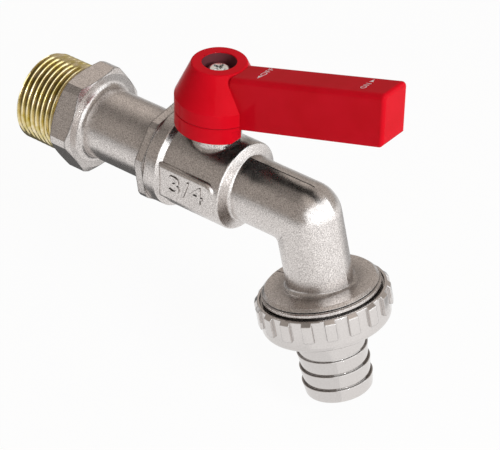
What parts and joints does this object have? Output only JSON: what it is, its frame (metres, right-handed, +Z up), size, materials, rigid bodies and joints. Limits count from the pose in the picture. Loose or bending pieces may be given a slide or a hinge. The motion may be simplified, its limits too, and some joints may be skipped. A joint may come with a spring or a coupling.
{
  "type": "hose tap",
  "caption": "Lever-operated ball-valve hose tap with a threaded pipe inlet, a bent spout and a ribbed union nut that holds a barbed hose tail.",
  "frame": {"origin": "on the pipe's axis, at the upstream face of the hexagon, where the inlet thread ends", "axes": "+X along the pipe, the way the water flows; +Z up along the stem; +Y to the left looking downstream"},
  "size_m": [0.1215, 0.038, 0.1052],
  "materials": {
    "nickel_plated_brass": "satin nickel plating over brass, with a fine sandblasted grain on the casting",
    "bare_brass": "machined and unplated",
    "ball_chrome": "polished",
    "seat_plastic": "waxy white",
    "seal_rubber": "matt black",
    "red_paint": "gloss enamel",
    "screw_steel": "zinc plated"
  },
  "bodies": {
    "tap_body": {"body": "nickel_plated_brass", "inlet_connector": "nickel_plated_brass", "seat_ring_inlet": "seat_plastic", "seat_ring_outlet": "seat_plastic", "stem_thrust_washer": "seat_plastic"},
    "handle_set": {"handle": "red_paint", "handle_screw": "screw_steel", "handle_screw_washer": "screw_steel", "stem": "bare_brass", "stem_o_ring_lower": "seal_rubber", "stem_o_ring_upper": "seal_rubber", "ball": "ball_chrome"},
    "tail_set": {"hose_tail": "nickel_plated_brass", "hose_gasket": "seal_rubber"},
    "nut_set": {"union_nut": "nickel_plated_brass"}
  },
  "joints": [
    {"name": "handle_turn", "type": "hinge", "parent": "tap_body", "child": "handle_set", "pos_m": [0.0494, 0, 0], "axis": [0, 0, 1], "range_deg": [-90, 0]},
    {"name": "tail_slide", "type": "slide", "parent": "tap_body", "child": "tail_set", "axis": [0.2419, 0, -0.9703], "range_m": [0, 0.00462]},
    {"name": "nut_turn", "type": "hinge", "parent": "tail_set", "child": "nut_set", "pos_m": [0.08035, 0, 0], "axis": [0.2419, 0, -0.9703], "range_deg": [0, 720]}
  ],
  "couplings": [
    {"joint": "tail_slide", "follows": "nut_turn", "m_per_rad": 0.00036749}
  ]
}
